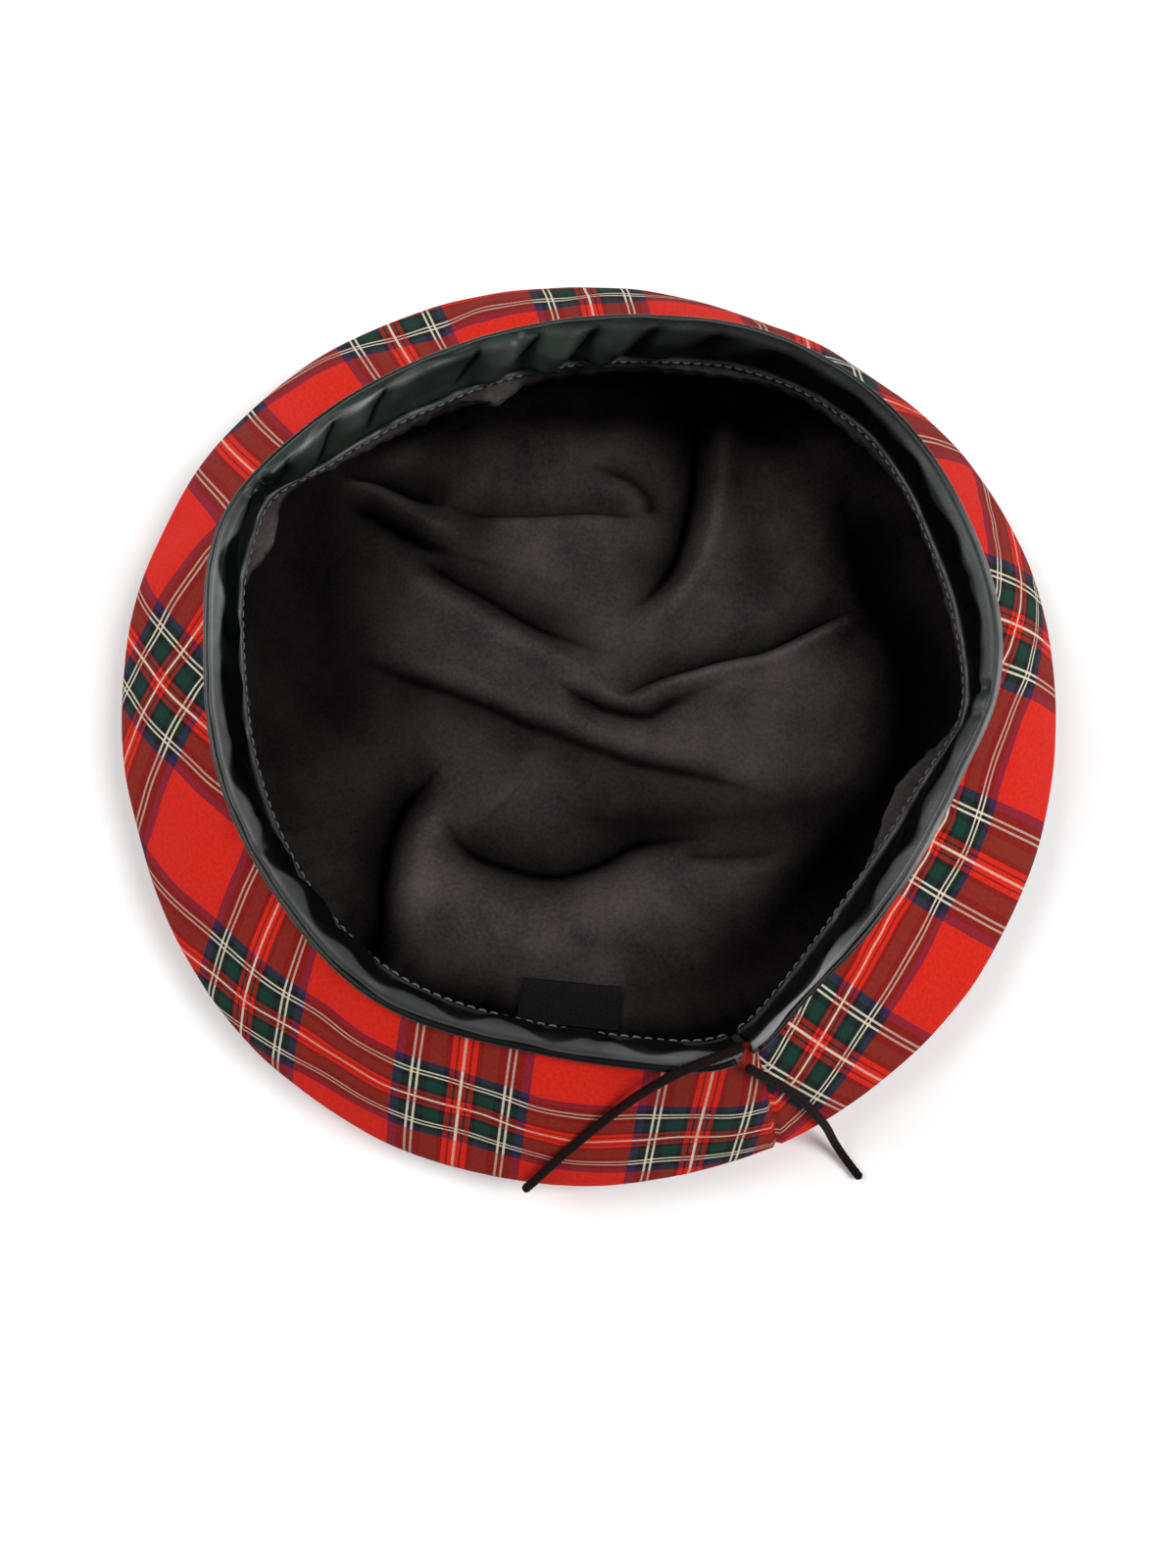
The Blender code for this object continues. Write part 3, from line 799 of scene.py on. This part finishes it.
bandFace = makeHeadband(headband)


piping = {
    "around": 720,
    "sides": 12,
    "radius": 0.95,
    "inset": 0.3,
    "drop": -0.05,
    "openingHalf": 1.6,  # half of its gap at the opening, in degrees
    "uneven": 0.06,  # how much its thickness varies
    "plain": 0.16,
    # azimuth, how much painted highlight, half width
    "polishAndPaintedLight": ((176, 0.56, 28), (352, 0.74, 24), (18, 0.42, 14), (326, 0.50, 12), (222, 0.34, 20),
               (62, 0.46, 24), (110, 0.42, 26)),
}


def tubeAlong(path, radius, sides, across):
    # path + radius (cos b * across + sin b * other), both square to the path's own direction; the
    # radius is for each point, or for each side and point
    ahead = unit(np.gradient(path, axis=0))
    side = unit(across - np.sum(across * ahead, axis=1, keepdims=True) * ahead)
    other = np.cross(ahead, side)
    angle = np.radians(allRound(sides))[:, None, None]
    return path + radius[..., None] * (np.cos(angle) * side + np.sin(angle) * other)


def makePiping(s):
    azimuth = pastOpening(s["openingHalf"], s["around"])
    path = spin(bandSection(azimuth, s["inset"] + narrowAt(azimuth), s["drop"]), azimuth)
    thick = s["radius"] * (1.0 + s["uneven"] * ripple(azimuth, 200, 330, 6, 31))
    points = tubeAlong(path, thick, s["sides"], np.array([0.0, 0.0, 1.0]))
    # painted highlights where the lamps would catch the piping, in the map's X
    strip = paired(s["plain"] + nearby(s["polishAndPaintedLight"], azimuth), greenAt(azimuth)) / mm
    strip = np.broadcast_to(strip, (s["sides"] + 1, *strip.shape))
    piece = gridPiece("mouthPiping", points, False, True, strip, caps=True)
    dress(piece, leatherFinish, "leather_look")


makePiping(piping)


stitches = {
    "pitch": 3.0,
    "length": 2.3,
    "width": 0.5,
    "row": 0.86,  # how far down the band's section
    "eased": 6,  # columns each side that the seam's line is averaged over
    "sides": 6,
    "rings": 7,
    "proud": 0.12,
    "bowed": 0.25,
}


def makeStitches(s, face):
    # each stitch is a rod with round ends, (t, w sqrt(1 - t^5)), bowed out along the band's foot
    eased, sides, rings = s["eased"], s["sides"], s["rings"]
    row = np.pad(face[int(len(face) * s["row"])], ((eased, eased), (0, 0)), mode="reflect",
                 reflect_type="odd")
    total = np.cumsum(np.concatenate([np.zeros((1, 3)), row]), axis=0)
    row = (total[2 * eased + 1 :] - total[: -2 * eased - 1]) / (2 * eased + 1)
    reach = reachAlong(row)
    count = int(reach[-1] // s["pitch"])
    middle = (np.arange(count) + 0.5) * reach[-1] / count
    t = np.linspace(-1.0, 1.0, rings)
    goal = middle[:, None] + t * s["length"] / 2.0
    centre = pointsAt(goal, reach, row)
    inward = unit(-centre * np.array([1.0, 1.0, 0.0]))
    up = np.cross(unit(np.gradient(centre, axis=1)), inward)
    centre = centre + inward * (s["proud"] + s["bowed"] * (1.0 - t**2))[None, :, None]
    thick = s["width"] / 2.0 * np.sqrt(np.maximum(1.0 - np.abs(t) ** 5, 0.02))
    angle = np.radians(allRound(sides))[:, None]
    around = np.cos(angle) * inward[:, :, None] + np.sin(angle) * up[:, :, None]
    ring = centre[:, :, None] + thick[:, None, None] * around
    i, j = np.meshgrid(np.arange(rings - 1), np.arange(sides), indexing="ij")
    corner = [(i, j), (i + 1, j), (i + 1, (j + 1) % sides), (i, (j + 1) % sides)]
    quad = np.stack([a * sides + b for a, b in corner], axis=-1).reshape(-1, 4)
    start = np.arange(count)[:, None, None] * rings * sides
    caps = [np.arange(sides), (rings - 1) * sides + np.arange(sides)[::-1]]
    faces = (start + quad).reshape(-1, 4).tolist()
    faces += [loop for cap in caps for loop in (start[:, 0] + cap).tolist()]
    mesh = bpy.data.meshes.new("bandStitches")
    mesh.from_pydata((ring.reshape(-1, 3) * mm).tolist(), [], faces)
    dress(linkMesh("bandStitches", mesh), threadFinish, "drawstring")


makeStitches(stitches, bandFace)


lining = {
    "flat": (0.285, 0.285),
    "flatArea": 0.0625,
    "around": 560,
    "floorRows": 90,
    "wallRows": 40,
    "backStep": 6,
    "thickness": 0.5,
    "floor": 10.5,
    "lowest": 2.4,
    # every 40 degrees: the point that pulls the wall out, and where the wall meets the floor
    "pullRadius": (126, 126, 122, 112, 92, 76, 72, 76, 106),
    "pullHeight": (8, 8, 6, 6, 8, 10, 10, 10, 8),
    "foot": (94, 92, 90, 86, 72, 56, 52, 54, 78),
    "behindBand": 3.9,
    # in from there and up from the band's top: the sewn edge
    "edge": ((-0.3, -16.3), (0.5, -15.3), (0.3, -14.3), (-0.7, -13.0), (-1.0, -9.0), (-1.1, -4.5)),
    "edgeRows": 20,
    "smoothed": 30,  # how often the bag's rows are averaged with their neighbours
    # azimuth, how far the sewn edge stands in under the band, half width
    "welt": ((338, 5.6, 12), (8, 1.5, 16), (42, 3.0, 12), (66, 2.6, 10), (85, 1.4, 16),
             (107, 5.2, 5), (128, 2.0, 14), (156, 6.6, 7), (185, 1.0, 16), (230, 0.9, 40)),
    # azimuth, how much painted light lies on the sewn edge, half width
    "paintedLight": ((156, 0.9, 8), (107, 0.9, 5), (338, 0.4, 12), (66, 0.3, 12)),
    "slack": 0.34,
    "fineSlack": 0.12,
    "tucks": 0.6,
    "foldDepth": 1.55,  # how much deeper the folds below are pressed than they are written
    "foldPlane": 12.0,
    "lipLight": 0.14,  # how much painted light a lip takes for each mm of its height
    "creaseWidth": 1.2,  # half width of the thin painted dark line along a fold with a lip
    # Folds as they lie seen from the camera, on the plane at that height. Each line is followed by
    # the valley's depth and its half width to the left and right of the line, by how much painted
    # shade lies along it, and by a lip's height, how far it lies to the left, and its half width,
    # where there is a lip.
    "folds": (
        (((-43, 61), (-22, 59), (2, 60), (19, 59)), 3.6, 8, 1.6, 0.55, 1.2, -4.5, 3.5),
        (((18, 59), (20, 64), (17, 69), (11, 73), (-3, 76)), 2.6, 3, 5, 0.55, 1, 6, 4),
        (((-76, 73), (-65, 71), (-56, 67), (-43, 61)), 3.4, 4, 2.4, 0.7, 1.4, -4, 2.5),
        (((-76, 65), (-67, 60), (-59, 55), (-50, 50), (-40, 47)), 3.6, 3, 4, 0.8, 2, 5, 3),
        (((-53, 47), (-42, 40), (-29, 32), (-14, 23), (12, 11)), 4.8, 9, 4.5, 0.75, 2.2, -9, 6),
        (((84, 31), (73, 26), (54, 16), (42, 13), (29, 9), (17, 5), (8, -1)),
         5, 1.6, 7, 0.75, 2.8, 4.2, 3.4),
        (((-10, 4), (0, -1), (10, -4), (18, -5), (25, -2), (42, 4)), 2.8, 1.4, 3, 0.65, 0.8, 4, 3),
        (((-74, 15), (-57, 8), (-43, 3), (-28, -3), (-15, -9), (10, -18), (37, -25), (56, -31)),
         3.2, 1.6, 12, 0.6, 1.2, 5, 5),
        (((37, 116), (36, 100), (34, 86), (33, 71), (30, 56), (26, 44), (19, 34), (9, 25)),
         6.2, 3.6, 11, 0.92, 2.4, 8, 4),
        (((-41, -19), (-50, -27), (-56, -37), (-59, -52), (-59, -66), (-58, -80), (-57, -96)),
         6, 4.5, 12, 0.92, 3, 13, 9),
        (((-42, -33), (-36, -43), (-27, -48), (-10, -52), (4, -48), (13, -43), (25, -41),
          (40, -41)), 5, 12, 4, 0.86, 1.8, -12, 8),
        (((26, -46), (43, -46), (59, -44)), 2, 6, 2, 0.35, 0.8, -5, 4),
        (((-22, -14), (-6, -24), (8, -30)), -2.4, 12, 10, 0),
        (((66, 104), (85, 85), (80, 64), (82, 46), (86, 31), (93, 15), (95, -2), (92, -18),
          (83, -33), (71, -45), (60, -58), (50, -70), (38, -82), (14, -100)), 4.4, 60, 10, 0.95),
        (((-96, 66), (-64, 85), (-44, 89), (-28, 94), (6, 95), (44, 92), (72, 82), (94, 66)),
         4, 50, 11, 0.84),
        (((-84, 84), (-94, 66), (-98, 40), (-98, 10), (-94, -20), (-86, -50), (-70, -80)),
         3.4, 44, 20, 0.62),
        (((-88, 66), (-62, 46), (-34, 28), (-8, 12), (10, 4)), -2, 9, 16, 0),
        (((14, 0), (34, -4), (58, -2), (84, 14)), -2.4, 12, 16, 0),
        (((-20, -62), (0, -74), (24, -72), (40, -62)), -2.6, 16, 14, 0),
        (((-78, 84), (-80, 64), (-80, 46), (-79, 30), (-75, 10), (-70, -10), (-66, -26)),
         1.2, 18, 20, 0.72),
        (((-64, 78), (-52, 70), (-43, 63), (-33, 55), (-24, 50)), 0.8, 8, 7, 0.55),
        (((-14, -36), (4, -36), (24, -37), (46, -35), (66, -32), (88, -26)), 1, 8, 9, 0.68),
        (((-76, -66), (-58, -81), (-40, -88), (-20, -93), (0, -97), (18, -98), (36, -95),
          (60, -84), (72, -70)), 0.8, 9.5, 40, 0.92),
        (((42, 92), (44, 76), (48, 60), (51, 46), (54, 34), (58, 20)), 0.4, 11, 11, 0.55),
        (((4, -86), (18, -84), (34, -80), (48, -73), (62, -62)), 0.3, 13, 13, 0.6),
        (((-62, -60), (-52, -75), (-40, -85), (-24, -91), (-10, -94)), 0.2, 10, 12, 0.58),
    ),
}


def foldField(x, y, s):
    # across each line: -depth exp(-|d/w|^1.15), w from the side that d is on, and
    # + lip exp(-((d - place)/width)^2), both tapered to the line's ends; the painted shade on the
    # cloth is the product of 1 - dark exp(-|d/w|^1.6), and with a lip a thin painted dark line
    # along it and painted light on the lip
    total, shade = np.zeros_like(x), np.ones_like(x)
    for line, depth, leftWidth, rightWidth, dark, *lip in s["folds"]:
        fine = openCurve(line, 6 * len(line))
        best, signed, share = np.full(x.shape, 1e9), np.zeros_like(x), np.zeros_like(x)
        for k, (here, there) in enumerate(zip(fine[:-1], fine[1:])):
            step = there - here
            t = ((x - here[0]) * step[0] + (y - here[1]) * step[1]) / (step @ step)
            t = np.clip(t, 0.0, 1.0)
            dx, dy = x - here[0] - t * step[0], y - here[1] - t * step[1]
            away = np.hypot(dx, dy)
            closer = away < best
            best = np.where(closer, away, best)
            signed = np.where(closer, away * np.sign(step[0] * dy - step[1] * dx), signed)
            share = np.where(closer, (k + t) / (len(fine) - 1), share)
        fade = smoothStep(-0.02, 0.22, share) * smoothStep(1.02, 0.74, share)
        off = np.abs(signed) / np.where(signed > 0.0, leftWidth, rightWidth)
        total -= depth * np.exp(-(off**1.15)) * fade
        # painted shade in the valley
        shade *= 1.0 - dark * np.exp(-(off**1.6)) * fade
        if lip:
            height, place, width = lip
            raised = height * bell(signed - place, width) * fade
            total += raised
            # painted light on the lip, then a painted dark line along the crease
            shade *= 1.0 + s["lipLight"] * raised
            shade *= 1.0 - dark * bell(signed, s["creaseWidth"]) * fade
    return total, shade


def liningShape(azimuth, s):
    # middle out over the floor, up the wall on a quadratic curve past its pull, then the sewn edge
    top, behind = heightAt(azimuth), mouthAt(azimuth) - s["behindBand"]
    foot = closedCurve(s["foot"], azimuth)
    pull = paired(closedCurve(s["pullRadius"], azimuth), closedCurve(s["pullHeight"], azimuth))
    floor = paired(np.linspace(0.0, 1.0, s["floorRows"])[:, None] * foot, s["floor"])
    under = paired(behind + 1.2 + flareAt(azimuth, -17.0), top - 17.5)
    t = np.linspace(0.0, 1.0, s["wallRows"])[1:, None, None]
    wall = (1 - t) ** 2 * floor[-1] + 2 * t * (1 - t) * pull + t**2 * under
    edge = [wall[-1]]
    for inset, drop in s["edge"]:
        welt = nearby(s["welt"], azimuth) * max(inset + 0.6, 0.0) / 1.1
        edge.append(paired(behind - inset - welt + flareAt(azimuth, drop), top + drop))
    section = np.concatenate([floor, wall, openCurve(edge, s["edgeRows"])[1:]])
    last = s["floorRows"] + s["wallRows"] - 4
    for _ in range(s["smoothed"]):
        section[1:last] = averaged(section)[: last - 1]
    return section


def makeLining(s):
    azimuth = allRound(s["around"])
    points = spin(liningShape(azimuth, s), azimuth)
    normal = gridNormals(points, True, False)
    normal[0] = (0.0, 0.0, 1.0)
    normal *= np.where(normal[..., 2:] < -0.2, -1.0, 1.0)
    depth = heightAt(azimuth) - outline["bandDepth"] - points[..., 2]
    seen = eye + (points - eye) * (s["foldPlane"] - eye[2]) / (points[..., 2:] - eye[2])
    seenX, seenY = seen[..., 0], seen[..., 1]
    free = smoothStep(4.0, 16.0, depth)
    # the folds' depth, and the painted shade of folds and pockets
    drop, shade = foldField(seenX, seenY, s)
    drop = drop * s["foldDepth"] * free
    slack = s["slack"] * crumple(seenX, seenY, 14.0, 40.0, 14, 41)
    slack += s["fineSlack"] * crumple(seenX, seenY, 5.0, 12.0, 18, 43)
    tucked = smoothStep(26.0, 4.0, depth) * smoothStep(-1.0, 3.0, depth)
    tucks = s["tucks"] * ripple(azimuth, 50, 120, 9, 47) * tucked
    points[..., 2] += drop + slack * free
    low = points[..., 2] - s["lowest"]
    eased = s["lowest"] + 0.5 * (low + np.sqrt(low * low + 0.6))
    points[..., 2] = np.where(depth > 4.0, eased, points[..., 2])
    points = points - normal * tucks[..., None] * np.array([1.0, 1.0, 0.3])
    points[0] = points[1].mean(axis=0)
    # the hidden back has few rows, so it keeps under the lowest of the face's points near it
    up = points[..., 2]
    lowest = up.copy()
    for shift in range(1, s["backStep"] + 1):
        for axis, step in ((0, shift), (0, -shift), (1, shift), (1, -shift)):
            moved = np.roll(up, step, axis)
            lowest = np.where(np.abs(moved - up) < 12.0, np.minimum(lowest, moved), lowest)
    flatness = np.minimum(np.abs(normal[..., 2:]), 1.0)
    outward = unit(points * np.array([1.0, 1.0, 0.0]))
    back = points + outward * (s["thickness"] + 0.5) * np.sqrt(1.0 - flatness**2)
    back[..., 2] = flatness[..., 0] * lowest + (1.0 - flatness[..., 0]) * up
    back[..., 2] -= s["thickness"] * flatness[..., 0]
    back[0] = points[0] - np.array([0.0, 0.0, s["thickness"]])
    back = back[-2:0:-s["backStep"]], back[:1]
    whole = np.concatenate([points, points[-1:] + outward[-1:] * s["thickness"], *back])
    # the painted shade fades out near the sewn edge, where painted light is added instead
    sewn = 1.0 - smoothStep(2.5, 6.0, depth)
    shade = shade + (1.0 - shade + nearby(s["paintedLight"], azimuth)) * sewn
    # the painted shade and light go into the cloth map
    shade = np.concatenate([shade, shade[-1:], shade[-2:0:-s["backStep"]], shade[:1]])
    shade = np.concatenate([shade, shade[:, :1]], axis=1)
    piece = gridPiece("liningSatin", whole, True, False, paired(shade, shade) / mm, weld=True)
    dress(piece, liningFinish, "lining_satin", "lining")
    return points


liningPoints = makeLining(lining)


label = {
    "flat": (0.015, 0.027),
    "columns": 54,
    "rows": 30,
    "sewn": ((-18.0, -93.5), (8.0, -96.0)),
    "free": ((-17.0, -82.0), (9.0, -84.5)),
    "lift": 1.1,
    "thickness": 0.5,
}


def liningHeight(x, y):
    # the lining's height under (x, y): its nearest column, then straight between the two rows
    # whose radii lie either side
    rows = lining["floorRows"] + lining["wallRows"] - 1
    column = np.round(np.degrees(np.arctan2(y, x)) % 360.0 / 360.0 * lining["around"]).astype(int)
    strip = liningPoints[:rows, column % lining["around"]]
    radius = np.linalg.norm(strip[..., :2], axis=-1)
    wanted = np.hypot(x, y)
    low = np.clip((radius <= wanted).sum(axis=0) - 1, 0, rows - 2)[None]
    near, far = (np.take_along_axis(radius, low + k, 0)[0] for k in (0, 1))
    under, over = (np.take_along_axis(strip[..., 2], low + k, 0)[0] for k in (0, 1))
    return under + (over - under) * (wanted - near) / (far - near)


def makeLabel(s):
    # bilinear between its four corners, lying on the lining, its free edge curled up a little
    u, v = np.meshgrid(np.linspace(0, 1, s["columns"]), np.linspace(0, 1, s["rows"]))
    a, b, c, d = np.array([*s["free"], *s["sewn"]])
    over, down = u[..., None], v[..., None]
    plan = (1 - down) * ((1 - over) * a + over * b) + down * ((1 - over) * c + over * d)
    height = liningHeight(plan[..., 0], plan[..., 1])
    smooth = np.polynomial.polynomial.polyfit(v[:, 0], height.mean(axis=1), 2)
    height = np.maximum(height, np.polynomial.polynomial.polyval(v, smooth))
    curl = 0.9 * (1.0 - v) ** 3 + 0.35 * np.sin(u * math.pi * 2.2 + 0.6) * (1.0 - v)
    top = np.concatenate([plan, (height + s["lift"] + curl)[..., None]], axis=-1)
    under = top[::-1] - np.array([0.0, 0.0, s["thickness"]])
    uv = paired(u, v) * s["flat"][::-1] / mm
    uv = np.concatenate([uv, uv[::-1], uv[:1]])
    points = np.concatenate([top, under])
    piece = gridPiece("blankLabel", points, False, True, uv, caps=True)
    dress(piece, labelFinish, "label_cloth", "label")


makeLabel(label)


drawstring = {
    "diameter": 2.45,
    "sides": 28,
    "step": 0.22,
    "rounded": 14,  # how often the route is averaged with its neighbours, 2 mm apart
    "strands": 4,
    "lay": 3.0,
    "relief": 0.09,
    "left": (
        (36.4, -100.5, 60.2), (35.7, -100.9, 63.2), (33.4, -101.6, 65.1), (30.1, -102.8, 65.1),
        (25.6, -104.2, 64.2), (22.6, -105.4, 62.6), (20.1, -106.8, 60.4), (15.4, -109.6, 54.8),
        (9.9, -113.2, 48.7), (4.0, -118.0, 42.4), (1.0, -120.5, 39.3), (-2.0, -123.0, 36.1),
        (-7.6, -128.0, 29.5), (-11.2, -131.6, 24.3), (-14.3, -134.6, 20.0), (-16.4, -136.4, 16.6),
    ),
    "right": (
        (37.6, -105.2, 60.4), (40.4, -106.7, 56.6), (44.2, -108.0, 51.4), (46.4, -108.9, 48.2),
        (48.6, -110.0, 44.9), (53.2, -112.6, 37.8), (55.3, -114.1, 34.1), (57.4, -115.7, 30.3),
        (61.4, -119.0, 22.6), (63.0, -120.1, 18.6), (64.4, -121.3, 14.6), (66.9, -124.4, 6.9),
        (69.6, -127.9, 2.6), (72.4, -131.4, 1.6), (75.2, -135.0, 1.6),
    ),
    "leftLength": 85.0,
    "rightLength": 79.0,
}


def makeCord(name, side, node, s):
    # a tube whose radius falls where two sets of strands cross: R (1 - h + h |cos| |cos|)
    coarse = evenCurve(s[side], 2.0)
    for _ in range(s["rounded"]):
        coarse[1:-1] = averaged(coarse)
    path = evenCurve(coarse, s["step"])
    reach = np.arange(len(path)) * s["step"]
    angle = np.radians(allRound(s["sides"]))[:, None]
    twist, turn = 2.0 * math.pi * reach / s["lay"], s["strands"] * angle / 2
    weave = np.abs(np.cos(turn + twist) * np.cos(turn - twist))
    end = np.minimum(reach, reach[-1] - reach)
    tip = np.sqrt(np.clip(1.0 - (1.0 - np.clip(end / 0.9, 0.0, 1.0)) ** 2, 0.12, 1.0))
    radius = s["diameter"] / 2.0 * (1.0 - s["relief"] + s["relief"] * weave) * tip
    across = unit(np.cross(path[-1] - path[0], (0.0, 0.0, 1.0)))
    points = tubeAlong(path, radius, s["sides"], across)
    piece = gridPiece(name, points, False, True, caps=True)
    dress(piece, cordFinish, "drawstring", node)


makeCord("drawstringLeft", "left", "drawstring_left", drawstring)
makeCord("drawstringRight", "right", "drawstring_right", drawstring)


studio = {
    "floorColour": (0.93, 0.93, 0.93),
    "sky": (1.0, 1.0, 1.0),
    "skyStrength": 0.20,
    # place, size, power, all turned to the hat
    "lights": (((0.76, -0.16, 1.10), 0.6, 14.0), ((-0.80, 0.32, 1.05), 0.7, 11.5)),
}


def makeStudio(s):
    bpy.ops.mesh.primitive_plane_add(size=6.0, location=(0.0, 0.0, 0.0))
    floor = bpy.context.object
    floor.name = "studioFloor"
    colour = (*s["floorColour"], 1.0)
    floor.data.materials.append(startMaterial("studioFloor", Roughness=0.9, Base_Color=colour)[0])
    world = bpy.data.worlds.new("studioSky")
    bpy.context.scene.world = world
    world.use_nodes = True
    background = world.node_tree.nodes["Background"].inputs
    background["Color"].default_value = (*s["sky"], 1.0)
    background["Strength"].default_value = s["skyStrength"]
    for number, (place, size, power) in enumerate(s["lights"]):
        data = bpy.data.lights.new(f"softBox{number}", "AREA")
        data.size = size
        data.energy = power
        light = bpy.data.objects.new(f"softBox{number}", data)
        light.location = place
        light.rotation_euler = (-Vector(place)).to_track_quat("-Z", "Y").to_euler()
        bpy.context.scene.collection.objects.link(light)
    bpy.context.scene.view_settings.view_transform = "Standard"
    print("studio made")


makeStudio(studio)
